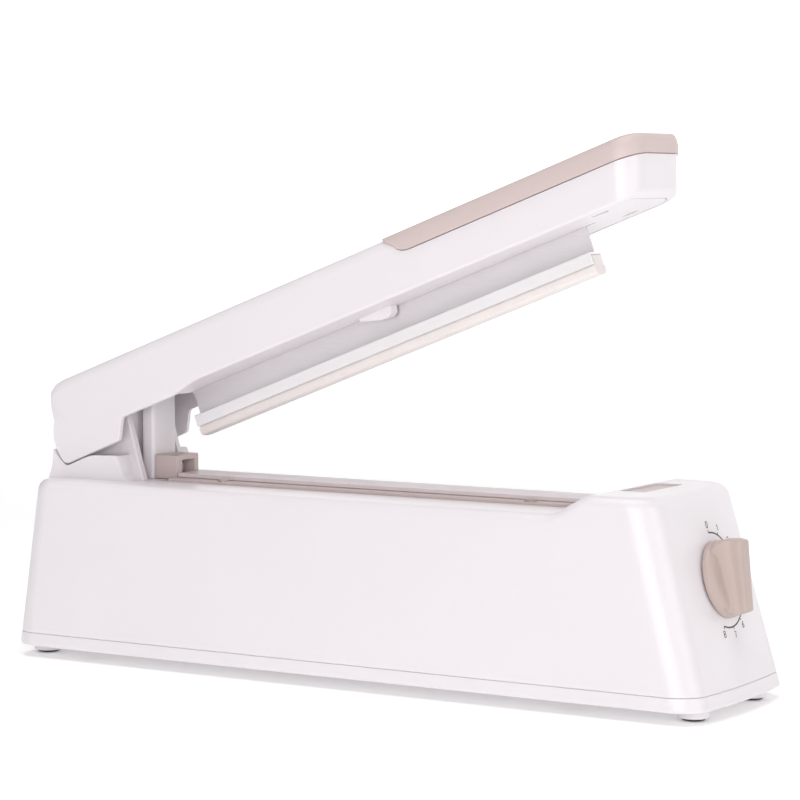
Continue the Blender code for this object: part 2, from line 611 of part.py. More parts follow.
def arm_shell():
    outer = beam(arm_stations(ARM_X1, TIP_R))
    arm = add("arm_shell", *outer, slot="shell", lift=True)
    cheek = [(-151.6, 108.0), (-153.4, 104.8), (-154.4, 101.6), (-154.7, 98.6), (-154.5, 95.2),
             (-153.8, 92.0), (-152.9, 89.8), (-152.0, 88.9), (-150.6, 88.4), (-123.0, 89.0),
             (-121.2, 89.3), (-120.2, 90.4),
             (-116.9, 96.4), (-115.6, 97.8), (-113.8, 98.4), (-113.8, 108.0)]
    cheek_ob = add("cheeks", *prism_y(cheek, -ARM_W0, ARM_W0), lift=True)
    bevel(cheek_ob, 0.8, 2, 60)
    boolean(arm, cheek_ob, 'UNION')
    # zone under the grip cover steps inwards
    zone = add("grip_zone", *prism_y(grip_region(0.0, GRIP_Z), -40.0, 40.0), lift=True)
    seat = add("grip_seat", *beam([(0.0, 0, 0), (30.0, 0, 0), (100.0, 0, 0), (118.0, 0, 0),
                                   (124, 0, 0), (130, 0, 0), (136, 0, 0), (142.0, 0, 0),
                                   (ARM_X1 - 8.0, 0.9, 0), (ARM_X1 - 5.0, 3.0, 0),
                                   (ARM_X1 - 2.8, 6.5, 0)],
                                  inset=2.5, low=90.0), lift=True)
    boolean(zone, seat)
    boolean(arm, zone)
    # hollow, open below; narrower beneath the grip seat
    rear = beam([(-151.8, 3.0, 0), (-150.4, 1.4, 0), (-148.4, 0.4, 0), (-144.8, 0, 0),
                 (-113, 0, 0), (-60, 0, 0), (28.0, 0, 0)], inset=WALL, low=80.0)
    boolean(arm, add("hollow_rear", *rear, lift=True))
    front = beam([(20.0, 0, 0), (60, 0, 0), (118, 0, 0), (124, 0, 0), (130, 0, 0), (136, 0, 0),
                  (141.5, 0, 0), (144.5, 0.5, 0), (147.0, 1.9, 0), (149.2, 4.2, 0),
                  (150.6, 7.0, 0)], inset=WALL + 0.25, low=79.0, high=113.4, top_r=3.4)
    boolean(arm, add("hollow_front", *front, lift=True))
    upper = beam([(21.0, 0, 0), (60, 0, 0), (118, 0, 0), (124, 0, 0), (130, 0, 0), (136, 0, 0),
                  (142.5, 2.5, 0)], inset=5.2, low=109.0, high=119.0)
    boolean(arm, add("hollow_upper", *upper, lift=True))
    open_rear = box(-170.0, -147.8, -23.9, 23.9, 80.0, 105.4)
    boolean(arm, add("rear_mouth", *open_rear, lift=True))
    for i, s in enumerate((-1, 1)):
        boss = lathe([(7.0, 17.2), (7.0, 25.0)], (PIVOT_X, 0, PIVOT_Z), (0, s, 0), 28)
        boolean(arm, add("pin_boss_%d" % i, *boss, lift=True), 'UNION')
        bore = lathe([(2.75, 15.0), (2.75, 22.6)], (PIVOT_X, 0, PIVOT_Z), (0, s, 0), 32)
        boolean(arm, add("pin_bore_%d" % i, *bore, lift=True))
    return arm


def grip_cover():
    st = [(0.0, 0, 0), (30.0, 0, 0), (60, 0, 0), (100.0, 0, 0), (118, 0, 0), (124, 0, 0),
          (130, 0, 0), (136, 0, 0), (140, 0, 0)]
    for a in (0, 15, 30, 45, 60, 75, 90):
        s = math.sin(math.radians(a))
        c = 1 - math.cos(math.radians(a))
        st.append((ARM_X1 + 0.5 - TIP_R * (1 - s), TIP_R * c, TIP_R * 0.25 * c))
    grip = add("grip_cover", *beam(st, proud=1.0, low=96.0, top_r=5.0), slot="accent", lift=True)
    zone = add("grip_keep", *prism_y(grip_region(GAP, GRIP_Z + GAP), -40.0, 40.0), lift=True)
    boolean(grip, zone, 'INTERSECT')
    seat = add("grip_core", *beam([(-10.0, 0, 0), (30.0, 0, 0), (100.0, 0, 0), (118.0, 0, 0),
                                   (124, 0, 0), (130, 0, 0), (136, 0, 0), (142.0, 0, 0),
                                   (ARM_X1 - 8.0 + GAP, 0.9, 0), (ARM_X1 - 5.0 + GAP, 3.0, 0),
                                   (ARM_X1 - 2.8 + GAP, 6.5, 0)],
                                  inset=2.2, low=90.0), lift=True)
    boolean(grip, seat)
    return grip


def arm_cover():
    rings = []
    for x, side in ((-96.0, 0), (-60.0, 0), (0.0, 0), (60.0, 0), (100.0, 0), (118.0, 0), (124.0, 0),
                    (130.0, 0), (136.0, 0), (141.2, 0), (144.2, 0.5), (146.7, 1.9), (148.9, 4.2),
                    (150.2, 7.0)):
        w = arm_half_width(x) - WALL - 0.5 - side
        rings.append([(lean(x, z), y, z) for y, z in ((w, COVER_Z), (w, COVER_Z + 2.0),
                                                      (-w, COVER_Z + 2.0), (-w, COVER_Z))])
    cover = add("arm_cover", *loft(rings), slot="shell", lift=True)
    for i, s in enumerate((-1, 1)):
        lug = [(1.5, 103.0), (1.5, 99.6), (11.5, 96.7), (15.6, 96.7), (17.4, 98.0), (18.6, 103.0)]
        ya, yb = sorted((s * 1.6, s * 6.4))
        lug_ob = add("web_lug_%d" % i, *prism_y(lug, ya, yb), lift=True)
        boolean(cover, lug_ob, 'UNION')
        slot = prism_z(rounded(122.0, 129.4, s * 13.0 - 1.3, s * 13.0 + 1.3, 1.2), 95.0, 110.0)
        boolean(cover, add("cover_slot_%d" % i, *slot, lift=True))
    web_slot = box(-99.0, 116.0, -0.95, 0.95, 90.0, 110.0)
    boolean(cover, add("web_slot", *web_slot, lift=True))
    for i, x in enumerate(WEB_SCREWS):
        boolean(cover, add("bracket_slot_%d" % i, *box(x - 6.4, x + 6.4, -4.0, 4.0, 103.2, 110.0),
                           lift=True))
    return cover


WEB_SCREWS = [-70.0, 90.0]


def press_group():
    web = [(-0.6, CHANNEL_Z1 + 0.3), (0.6, CHANNEL_Z1 + 0.3), (0.6, 109.5), (-0.6, 109.5)]
    web_ob = add("press_web", *loft([[(BAR_X0 + 0.4, y, z) for y, z in web],
                                     [(BAR_X1, y, z) for y, z in web]]),
                 slot="steel", lift=True)
    for i, x in enumerate(WEB_SCREWS):
        bore = lathe([(1.7, -8.0), (1.7, 8.0)], (x, 0, 106.6), (0, 1, 0), 16)
        boolean(web_ob, add("web_bore_%d" % i, *bore, lift=True))
        add("web_screw_%d" % (i + 1), *lathe([(2.8, -5.0), (3.0, -3.4), (1.4, -3.39), (1.4, 4.6)],
                                             (x, 0, 106.6), (0, 1, 0), 16),
            slot="steel", lift=True)
    a, b, t = 5.0, 3.9, 1.0
    z0, z1 = CHANNEL_Z0, CHANNEL_Z1
    sec = [(-a, z0), (-b, z0), (-b, z1 - t), (b, z1 - t), (b, z0), (a, z0), (a, z1 - 0.3),
           (a - 0.3, z1), (-a + 0.3, z1), (-a, z1 - 0.3)]
    add("press_channel", *loft([[(BAR_X0, y, z) for y, z in sec],
                                [(BAR_X1, y, z) for y, z in sec]]), slot="aluminium", lift=True)
    s0 = STRIP_Z0
    sil = [(-3.6, z1 - t - 0.3), (-3.6, z0 - 0.6), (-4.6, z0 - 0.7), (-4.6, s0 + 1.4),
           (-3.8, s0 + 0.4), (-2.6, s0 + 0.05), (0, s0), (2.6, s0 + 0.05), (3.8, s0 + 0.4),
           (4.6, s0 + 1.4), (4.6, z0 - 0.7), (3.6, z0 - 0.6), (3.6, z1 - t - 0.3)]
    add("silicone_strip", *loft([[(BAR_X0 + 0.3, y, z) for y, z in sil],
                                 [(BAR_X1 + 0.3, y, z) for y, z in sil]]),
        slot="silicone", lift=True)


base_shell()
base_tray()
feet_and_screws()
sealing_line()
hinge_group()
timer_group()
electrics()
arm_shell()
grip_cover()
arm_cover()
press_group()
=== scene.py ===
"""Looks for the tabletop bag heat sealer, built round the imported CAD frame.

Shapes are written in millimetres in the CAD's own terms: X along the sealing rail, -Y the front,
Z up.  The arm is drawn closed and lifted about the hinge pin to its open rest position.
"""
import json
import math

import bmesh
import bpy
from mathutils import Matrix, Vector


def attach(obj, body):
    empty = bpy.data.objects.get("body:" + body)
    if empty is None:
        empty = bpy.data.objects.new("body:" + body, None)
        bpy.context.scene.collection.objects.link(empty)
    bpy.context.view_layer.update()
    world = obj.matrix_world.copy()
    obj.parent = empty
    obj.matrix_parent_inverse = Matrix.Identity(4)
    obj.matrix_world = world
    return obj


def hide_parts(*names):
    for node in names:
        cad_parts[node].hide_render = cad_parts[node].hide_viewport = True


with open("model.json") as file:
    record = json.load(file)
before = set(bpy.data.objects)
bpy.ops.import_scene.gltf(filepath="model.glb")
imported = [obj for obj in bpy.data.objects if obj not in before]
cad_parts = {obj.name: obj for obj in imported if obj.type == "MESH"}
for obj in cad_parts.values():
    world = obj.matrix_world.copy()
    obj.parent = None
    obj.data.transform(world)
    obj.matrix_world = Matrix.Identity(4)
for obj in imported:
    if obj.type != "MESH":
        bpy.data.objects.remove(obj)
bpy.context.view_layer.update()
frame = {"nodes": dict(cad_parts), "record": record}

MM = 0.001
CENTRE_X = -0.84                   # CAD x of the frame's origin, under the middle of the object
GAP = 0.3                          # joint line between separate mouldings

# ---- sizes of the housing ------------------------------------------------------------------
FOOT_Z = 4.8
HALF_L, HALF_W = 165.0, 43.3
SLOPE_L, SLOPE_R, SLOPE_Y = 0.121, 0.2855, 0.042
PLAN_R = 11.6
CROWN_L, CROWN_R = 1.0, 3.0
DECK_Z, RAISED_Z = 77.4, 85.6
STEP_X0, STEP_X1 = 98.0, 119.0
EDGE_R = 4.2
WALL = 2.4
PART_Z = 10.6                      # parting line between tray and shell
CAVITY_HALF = 13.3                 # half width of the space between the hinge bosses

# ---- sizes of the arm ----------------------------------------------------------------------
PIVOT_X, PIVOT_Z = -135.5, 100.0
PIVOT = (PIVOT_X, 0, PIVOT_Z)
OPEN_DEG = 20.8
ARM_W0, ARM_W1 = 26.3, 22.8
ARM_TOP = 124.2
TIP_R = 11.0
ARM_X1 = 155.0
TAPER_X = -110.0                   # the arm narrows from here to its free end
ARM_LOW_Z = 98.0
ARM_LOW_R = 1.2
CHEEK_X = -113.0                   # front end of the hinge cheeks
RISE, RISE_X, RISE_L = 2.6, -90.0, 18.0
LEAN, LEAN_X, LEAN_L, ARM_DEPTH = 7.4, 118.0, 34.0, 21.0
GRIP_Z, GRIP_X = 116.0, 42.0
PIN_BORE_R = 2.75
POST_X = -115.9

# ---- timer, cord, screws and feet ----------------------------------------------------------
DIAL_Z = 51.0
KNOB_R = 15.4
SHAFT_HOLE_R, GLAND_HOLE_R = 4.2, 5.3
GLAND_AT = (-162.0, 0, 24.0)
DIAL_AXIS = Vector((1, 0, SLOPE_R)).normalized()
DIAL_ORIGIN = Vector((HALF_L - SLOPE_R * (DIAL_Z - FOOT_Z) + CROWN_R, 0, DIAL_Z))
SCREW_XY = [(-128.0, -31.0), (-128.0, 31.0), (106.0, -31.0), (106.0, 31.0)]
FOOT_XY = {"foot_front_right": (156.5, -26.5), "foot_front_left": (-157.0, -26.5),
           "foot_rear_right": (156.5, 26.5), "foot_rear_left": (-157.0, 26.5)}


# ---- shape builders ------------------------------------------------------------------------
def placed(verts, lift):
    """Lift about the hinge pin if asked, then go from CAD millimetres to the frame's metres."""
    if lift:
        a = math.radians(OPEN_DEG)
        c, s = math.cos(a), math.sin(a)
        verts = [(PIVOT_X + (x - PIVOT_X) * c - (z - PIVOT_Z) * s, y,
                  PIVOT_Z + (x - PIVOT_X) * s + (z - PIVOT_Z) * c) for x, y, z in verts]
    return [(Vector(v) - Vector((CENTRE_X, 0, 0))) * MM for v in verts]


def solid(name, verts, faces, lift=False):
    """New mesh object with outward normals."""
    me = bpy.data.meshes.new(name)
    me.from_pydata(placed(verts, lift), [], faces)
    bm = bmesh.new()
    bm.from_mesh(me)
    bmesh.ops.recalc_face_normals(bm, faces=bm.faces)
    bm.to_mesh(me)
    bm.free()
    ob = bpy.data.objects.new(name, me)
    bpy.context.scene.collection.objects.link(ob)
    return ob


def bevel(ob, width, segments=3, angle=40):
    mod = ob.modifiers.new("edges", 'BEVEL')
    mod.width = width * MM
    mod.segments = segments
    mod.limit_method = 'ANGLE'
    mod.angle_limit = math.radians(angle)
    return ob


def baked(ob):
    """Apply every modifier so that the object holds its final mesh."""
    dg = bpy.context.evaluated_depsgraph_get()
    me = bpy.data.meshes.new_from_object(ob.evaluated_get(dg), depsgraph=dg)
    old = ob.data
    ob.modifiers.clear()
    ob.data = me
    bpy.data.meshes.remove(old)
    return ob


def combine(ob, other, operation='DIFFERENCE'):
    """Boolean of two objects. The second one is used up."""
    mod = ob.modifiers.new(operation.lower(), 'BOOLEAN')
    mod.operation = operation
    mod.solver = 'EXACT'
    mod.object = other
    baked(ob)
    bpy.data.objects.remove(other, do_unlink=True)
    return ob


def box(x0, x1, y0, y1, z0, z1):
    v = [(x, y, z) for z in (z0, z1) for y in (y0, y1) for x in (x0, x1)]
    f = [(0, 2, 3, 1), (4, 5, 7, 6), (0, 1, 5, 4), (2, 6, 7, 3), (0, 4, 6, 2), (1, 3, 7, 5)]
    return v, f


def join(*solids):
    verts, faces = [], []
    for v, f in solids:
        n = len(verts)
        verts += v
        faces += [tuple(i + n for i in face) for face in f]
    return verts, faces


def loft(rings, cap0=True, cap1=True):
    """Skin over rings of equal length, capped at both ends unless told otherwise."""
    n = len(rings[0])
    verts = [p for r in rings for p in r]
    faces = []
    for k in range(len(rings) - 1):
        for i in range(n):
            j = (i + 1) % n
            faces.append((k * n + i, k * n + j, (k + 1) * n + j, (k + 1) * n + i))
    if cap0:
        faces.append(tuple(range(n))[::-1])
    if cap1:
        faces.append(tuple((len(rings) - 1) * n + i for i in range(n)))
    return verts, faces


def prism_y(profile, y0, y1):
    """Side profile in (x, z) pushed along Y."""
    return loft([[(x, y0, z) for x, z in profile], [(x, y1, z) for x, z in profile]])


def prism_z(plan, z0, z1):
    return loft([[(x, y, z0) for x, y in plan], [(x, y, z1) for x, y in plan]])


def arc(cx, cy, r, a0, a1, n):
    return [(cx + r * math.cos(math.radians(a0 + (a1 - a0) * i / n)),
             cy + r * math.sin(math.radians(a0 + (a1 - a0) * i / n))) for i in range(n + 1)]


def rounded(x0, x1, y0, y1, r, n=8):
    return (arc(x1 - r, y1 - r, r, 0, 90, n) + arc(x0 + r, y1 - r, r, 90, 180, n)
            + arc(x0 + r, y0 + r, r, 180, 270, n) + arc(x1 - r, y0 + r, r, 270, 360, n))


def lathe(profile, origin, axis, n=64):
    """Turn a profile of (radius, height) about an axis."""
    axis = Vector(axis).normalized()
    side = Vector((0, 1, 0)) if abs(axis.y) < 0.9 else Vector((0, 0, 1))
    u = side.cross(axis).normalized()
    v = axis.cross(u)
    o = Vector(origin)
    rings = []
    for r, h in profile:
        rings.append([tuple(o + axis * h + u * r * math.cos(2 * math.pi * i / n)
                            + v * r * math.sin(2 * math.pi * i / n)) for i in range(n)])
    return loft(rings)


def drill(ob, r, h0, h1, at, axis, n=64, lift=False):
    """Cut a round hole from h0 to h1 along the axis through a point."""
    combine(ob, solid("hole", *lathe([(r, h0), (r, h1)], at, axis, n), lift=lift))


def smooth(t):
    """Ease from 0 to 1 with level ends."""
    t = min(1.0, max(0.0, t))
    return t * t * (3 - 2 * t)


# ---- materials -----------------------------------------------------------------------------
def node_material(name):
    mat = bpy.data.materials.new(name)
    mat.use_nodes = True
    tree = mat.node_tree
    bsdf = next(n for n in tree.nodes if n.type == "BSDF_PRINCIPLED")
    coord = tree.nodes.new("ShaderNodeTexCoord")
    return mat, tree, bsdf, coord.outputs["Object"]


def stretched(tree, vector, scale):
    node = tree.nodes.new("ShaderNodeMapping")
    node.inputs["Scale"].default_value = scale
    tree.links.new(vector, node.inputs["Vector"])
    return node.outputs["Vector"]


def noise(tree, vector, scale, detail=3.0, rough=0.55):
    node = tree.nodes.new("ShaderNodeTexNoise")
    node.inputs["Scale"].default_value = scale
    node.inputs["Detail"].default_value = detail
    node.inputs["Roughness"].default_value = rough
    tree.links.new(vector, node.inputs["Vector"])
    return node.outputs["Fac"]


def spread(tree, value, lo, hi, at0=0.3, at1=0.7):
    """Map a value from at0..at1 to lo..hi."""
    node = tree.nodes.new("ShaderNodeMapRange")
    node.inputs["From Min"].default_value = at0
    node.inputs["From Max"].default_value = at1
    node.inputs["To Min"].default_value = lo
    node.inputs["To Max"].default_value = hi
    tree.links.new(value, node.inputs["Value"])
    return node.outputs["Result"]


def blended(tree, factor, a, b):
    node = tree.nodes.new("ShaderNodeMix")
    node.data_type = 'RGBA'
    node.inputs[6].default_value = (*a, 1)
    node.inputs[7].default_value = (*b, 1)
    tree.links.new(factor, node.inputs[0])
    return node.outputs[2]


def bump(tree, height, strength, distance):
    node = tree.nodes.new("ShaderNodeBump")
    node.inputs["Strength"].default_value = strength
    node.inputs["Distance"].default_value = distance
    tree.links.new(height, node.inputs["Height"])
    return node.outputs["Normal"]


def shade(color, k):
    return tuple(c * k for c in color)


def plastic(name, color, rough, grain=0.05, grain_scale=2600.0, coat=0.0, drift=0.02):
    """Moulded plastic: slow colour drift, cloudy gloss and a fine spark-eroded grain."""
    mat, tree, bsdf, at = node_material(name)
    cloud = noise(tree, at, 16.0, 3.0)
    tree.links.new(blended(tree, spread(tree, cloud, 0, 1), shade(color, 1 - drift),
                           shade(color, 1 + drift * 0.6)), bsdf.inputs["Base Color"])
    gloss = noise(tree, at, 70.0, 4.0)
    tree.links.new(spread(tree, gloss, rough - 0.035, rough + 0.045), bsdf.inputs["Roughness"])
    fine = noise(tree, at, grain_scale, 2.0)
    tree.links.new(bump(tree, fine, grain, 0.0001), bsdf.inputs["Normal"])
    bsdf.inputs["IOR"].default_value = 1.48
    bsdf.inputs["Coat Weight"].default_value = coat
    bsdf.inputs["Coat Roughness"].default_value = 0.18
    return mat


def metal(name, color, rough, grain_along=(1.0, 60.0, 60.0), grain=0.12, dark=0.90,
          metallic=1.0):
    """Drawn or rolled metal: fine lines along one direction, dulled in patches."""
    mat, tree, bsdf, at = node_material(name)
    lines = noise(tree, stretched(tree, at, grain_along), 60.0, 4.0, 0.65)
    patches = noise(tree, at, 45.0, 3.0)
    tree.links.new(blended(tree, spread(tree, lines, 0, 1), shade(color, dark), color),
                   bsdf.inputs["Base Color"])
    tree.links.new(spread(tree, patches, rough - 0.05, rough + 0.07), bsdf.inputs["Roughness"])
    tree.links.new(bump(tree, lines, grain, 0.0001), bsdf.inputs["Normal"])
    bsdf.inputs["Metallic"].default_value = metallic
    return mat


def rubber(name, color, rough, drift=0.06):
    """Moulded rubber: dusty patches and a matt, fine-grained skin."""
    mat, tree, bsdf, at = node_material(name)
    dust = noise(tree, at, 120.0, 5.0)
    tree.links.new(blended(tree, spread(tree, dust, 0, 1), shade(color, 1 - drift),
                           shade(color, 1 + drift)), bsdf.inputs["Base Color"])
    tree.links.new(spread(tree, dust, rough - 0.06, rough + 0.06), bsdf.inputs["Roughness"])
    tree.links.new(bump(tree, noise(tree, at, 1800.0, 2.0), 0.15, 0.0001), bsdf.inputs["Normal"])
    bsdf.inputs["Sheen Weight"].default_value = 0.12
    bsdf.inputs["Sheen Roughness"].default_value = 0.5
    return mat


def woven(name, color):
    """Coated glass cloth: a plain weave under a waxy film."""
    thread = 0.00035
    mat, tree, bsdf, at = node_material(name)
    waves = []
    for direction in ('X', 'Y'):
        node = tree.nodes.new("ShaderNodeTexWave")
        node.bands_direction = direction
        node.inputs["Scale"].default_value = 0.5 / thread / math.pi
        node.inputs["Distortion"].default_value = 0.4
        tree.links.new(at, node.inputs["Vector"])
        waves.append(node.outputs["Fac"])
    cross = tree.nodes.new("ShaderNodeMath")
    cross.operation = 'MAXIMUM'
    tree.links.new(waves[0], cross.inputs[0])
    tree.links.new(waves[1], cross.inputs[1])
    tree.links.new(blended(tree, spread(tree, cross.outputs[0], 0, 1, 0.2, 0.9),
                           shade(color, 0.955), color), bsdf.inputs["Base Color"])
    tree.links.new(bump(tree, cross.outputs[0], 0.06, 0.0001), bsdf.inputs["Normal"])
    tree.links.new(spread(tree, noise(tree, at, 60.0), 0.34, 0.46), bsdf.inputs["Roughness"])
    return mat


WHITE = (0.815, 0.768, 0.796)
BEIGE = (0.630, 0.520, 0.505)
MAT = {
    "white_shell": plastic("white_moulding", WHITE, 0.32, 0.02, 420.0, 0.10, 0.01),
    "accent_plastic": plastic("beige_moulding", BEIGE, 0.42, grain=0.10, drift=0.03),
    "knob_plastic": plastic("knob_moulding", (0.530, 0.420, 0.385), 0.40, grain=0.10, drift=0.03),
    "foot_rubber": rubber("foot_rubber", (0.035, 0.035, 0.036), 0.80),
    "silicone": rubber("silicone_rubber", (0.85, 0.79, 0.77), 0.55, 0.02),
    "aluminium": metal("drawn_aluminium", (0.95, 0.925, 0.94), 0.42, grain=0.05, dark=0.95,
                       metallic=0.45),
    "steel": metal("rolled_steel", (0.76, 0.725, 0.745), 0.42, grain=0.06, dark=0.94,
                   metallic=0.70),
    "nichrome": metal("resistance_band", (0.50, 0.47, 0.45), 0.38),
    "ptfe_cloth": woven("coated_glass_cloth", (0.77, 0.68, 0.70)),
    "brass": metal("turned_brass", (0.50, 0.43, 0.36), 0.42, (1.0, 1.0, 8.0), 0.08),
    "board": plastic("laminate_board", (0.05, 0.20, 0.09), 0.45, grain=0.2, drift=0.12),
    "copper_winding": metal("enamelled_wire", (0.62, 0.28, 0.12), 0.35, (1.0, 1.0, 40.0), 0.6, 0.6),
    "dark_plastic": plastic("dark_moulding", (0.035, 0.034, 0.036), 0.45, grain=0.15, drift=0.08),
    "lamp_lens": plastic("lamp_lens", (0.60, 0.06, 0.03), 0.20, grain=0.02, coat=0.6),
}
INK = plastic("dial_ink", (0.055, 0.052, 0.058), 0.55, grain=0.08, drift=0.10)

SLOT = {row["node"]: row["material_slot"] for row in frame["record"]["subparts"]}
BODY = {n: b for b, members in frame["record"]["behaviour"]["bodies"].items() for n in members}


def soft_edges(ob, angle=32):
    """Smooth shading that keeps real corners crisp."""
    me = ob.data
    me.polygons.foreach_set("use_smooth", [True] * len(me.polygons))
    me.set_sharp_from_angle(angle=math.radians(angle))
    mod = ob.modifiers.new("even_normals", 'WEIGHTED_NORMAL')
    mod.keep_sharp = True
    mod.weight = 50


def piece(ob, node, name=None, angle=32, material=None):
    """Give a rebuilt part its finish and its body, and hide the CAD node that it stands for unless the
    part gets a name of its own.
    """
    baked(ob)
    ob.name = name or node + "_look"
    ob.data.materials.clear()
    ob.data.materials.append(material or MAT[SLOT[node]])
    ob.data.polygons.foreach_set("material_index", [0] * len(ob.data.polygons))
    soft_edges(ob, angle)
    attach(ob, BODY[node])
    if name is None:
        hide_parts(node)
    return ob


# ---- camera --------------------------------------------------------------------------------
cam_data = bpy.data.cameras.new("camera")
cam_data.lens, cam_data.sensor_width = 126.99, 36.0
cam_data.clip_start, cam_data.clip_end = 0.05, 30.0
camera = bpy.data.objects.new("camera", cam_data)
bpy.context.scene.collection.objects.link(camera)
camera.location = (0.618666, -0.999349, 0.202379)
camera.rotation_euler = (math.radians(90 - 4.230), 0, math.radians(31.377))
bpy.context.scene.camera = camera


# ---- housing -------------------------------------------------------------------------------
def deck_height(x):
    return DECK_Z + (RAISED_Z - DECK_Z) * smooth((x - STEP_X0) / (STEP_X1 - STEP_X0))


STATIONS = ([-140 + 6.8 * i for i in range(35)] + [96 + 0.75 * i for i in range(34)]
            + [123, 127])


def end_points(xe, sign, hw, crown, inset):
    """Points round one crowned end of the plan, in the order of the closed ring."""
    rr = max(PLAN_R - inset, 0.6)
    half = hw - inset
    pts = [(px, py - (half - rr)) for px, py in arc(0, 0, rr, 270, 360, 18)]
    pts += [(rr, -(half - rr) + 2 * (half - rr) * k / 14) for k in range(1, 14)]
    pts += [(px, py + (half - rr)) for px, py in arc(0, 0, rr, 0, 90, 18)]
    out = []
    for px, py in pts:
        bulge = crown * (1 - (py / half) ** 2) * smooth((px + 0.001) / rr)
        out.append((xe + sign * (px - rr - inset + bulge), py * sign))
    return out


def housing_ring(zfun, inset):
    """One closed ring round the base, where zfun gives the height of a point from its x."""
    zr, zl = zfun(150.0), zfun(-150.0)

    def half(z):
        return HALF_W - SLOPE_Y * (z - FOOT_Z)
    pts = [(x, -(half(zfun(x)) - inset), zfun(x)) for x in STATIONS]
    xr = HALF_L - SLOPE_R * (zr - FOOT_Z)
    pts += [(x, y, zr) for x, y in end_points(xr, 1, half(zr), CROWN_R, inset)]
    pts += [(x, half(zfun(x)) - inset, zfun(x)) for x in reversed(STATIONS)]
    xl = -HALF_L + SLOPE_L * (zl - FOOT_Z)
    pts += [(x, y, zl) for x, y in end_points(xl, -1, half(zl), CROWN_L, inset)]
    return pts


def top_strips(start, n_side, n_end):
    """Faces across the top, pairing each front point with the rear point at the same x."""
    total = 2 * (n_side + n_end)
    front = list(range(n_side))
    rear = [2 * n_side + n_end - 1 - i for i in range(n_side)]
    right = list(range(n_side, n_side + n_end))
    left = list(range(2 * n_side + n_end, total))
    faces = [(front[i], front[i + 1], rear[i + 1], rear[i]) for i in range(n_side - 1)]
    faces.append(tuple([front[-1]] + right + [rear[-1]]))
    faces.append(tuple([rear[0]] + left + [front[0]]))
    return [tuple(start + i for i in f) for f in faces]


def housing_skin(z_low, inset, drop, edge, steps):
    """Rings from the rim up and over the rounded top edge. The outer skin has a softened rim."""
    rings = []
    lip = 0.35 if inset == 0 else 0.0
    if lip:
        rings.append(housing_ring(lambda x: z_low - 0.16, inset + 0.20))
        rings.append(housing_ring(lambda x: z_low - 0.02, inset + 0.06))
        rings.append(housing_ring(lambda x: z_low + lip, inset))
    for i in range(9):
        t = i / 8
        if lip and i == 0:
            rings.append(housing_ring(lambda x: z_low + lip + 0.2, inset))
        else:
            rings.append(housing_ring(
                lambda x: z_low + lip + (deck_height(x) - drop - edge - z_low - lip) * t, inset))
    for k in range(1, steps + 1):
        a = math.radians(90 * k / steps)
        rings.append(housing_ring(lambda x: deck_height(x) - drop - edge * (1 - math.sin(a)),
                                  inset + edge * (1 - math.cos(a))))
    return rings


def make_base_shell():
    outer = housing_skin(PART_Z + 0.3, 0.0, 0.0, EDGE_R, 10)
    inner = housing_skin(PART_Z + 0.3, WALL, WALL, EDGE_R - 1.8, 3)
    n = len(outer[0])
    n_side, n_end = len(STATIONS), (n - 2 * len(STATIONS)) // 2
    vo, fo = loft(outer, False, False)
    fo += top_strips((len(outer) - 1) * n, n_side, n_end)
    vi, fi = loft(inner, False, False)
    fi += top_strips((len(inner) - 1) * n, n_side, n_end)
    verts, faces = join((vo, fo), (vi, fi))
    off = len(vo)
    faces += [(i, (i + 1) % n, off + (i + 1) % n, off + i) for i in range(n)]
    shell = solid("base_shell_look", verts, faces)

    neck = [(-156.6, 70.0), (-156.6, 76.5), (-156.35, 77.6), (-155.9, 78.8), (-155.35, 80.3),
            (-154.9, 81.8), (-154.45, 83.8), (-154.1, 86.0), (-153.95, 88.0), (-153.9, 89.7)]
    neck += arc(PIVOT_X, PIVOT_Z, 20.6, 210, 234, 20)
    neck += [(-146.9, 82.95), (-145.8, 82.9), (-137.5, 86.3), (-136.0, 86.9), (-134.5, 87.4),
             (-132.8, 87.8), (-131.0, 88.0), (-120.0, 88.3), (-119.4, 88.1), (-118.9, 87.5),
             (-116.0, 79.6), (-115.5, 78.7), (-115.0, 78.0), (-114.2, 77.4), (-113.2, 77.0),
             (-113.2, 70.0)]
    pedestal = baked(bevel(solid("neck", *prism_y(neck, -26.2, 26.2)), 0.5, 3, 50))
    tongue = [(-155.6, 70.0), (-155.6, 90.0), (-155.2, 95.6), (-153.6, 96.4)]
    tongue += arc(PIVOT_X, PIVOT_Z, 16.6, 188, 62, 48)
    tongue += [(-126.0, 110.2), (-121.8, 110.2), (-120.4, 105.0), (-114.4, 85.0), (-112.6, 79.2),
               (-112.0, 77.2), (-112.0, 70.0)]
    combine(pedestal, baked(bevel(solid("tongue", *prism_y(tongue, -16.5, 16.5)), 1.2, 4, 50)),
            'UNION')
    combine(pedestal, solid("mouth", *box(-121.6, -100, -CAVITY_HALF, CAVITY_HALF,
                                          DECK_Z + 0.02, 107.6)))
    combine(shell, pedestal, 'UNION')
    combine(shell, solid("core", *box(-150.0, -124.5, -CAVITY_HALF, CAVITY_HALF, 60.0, 92.0)))
    drill(shell, PIN_BORE_R, -40, 40, PIVOT, (0, 1, 0))
    combine(shell, solid("inlay_hole", *prism_z(rounded(-104.8, 113.8, -15.3, 15.3, 1.0),
                                                60.0, 95.0)))
    combine(shell, solid("window_hole", *prism_z(rounded(119.2, 130.6, -17.3, 17.3, 1.6),
                                                 78.0, 95.0)))
    drill(shell, SHAFT_HOLE_R, -20, 20, DIAL_ORIGIN, DIAL_AXIS)
    drill(shell, GLAND_HOLE_R, -20, 20, GLAND_AT, (1, 0, 0))
    piece(shell, "base_shell", angle=28)


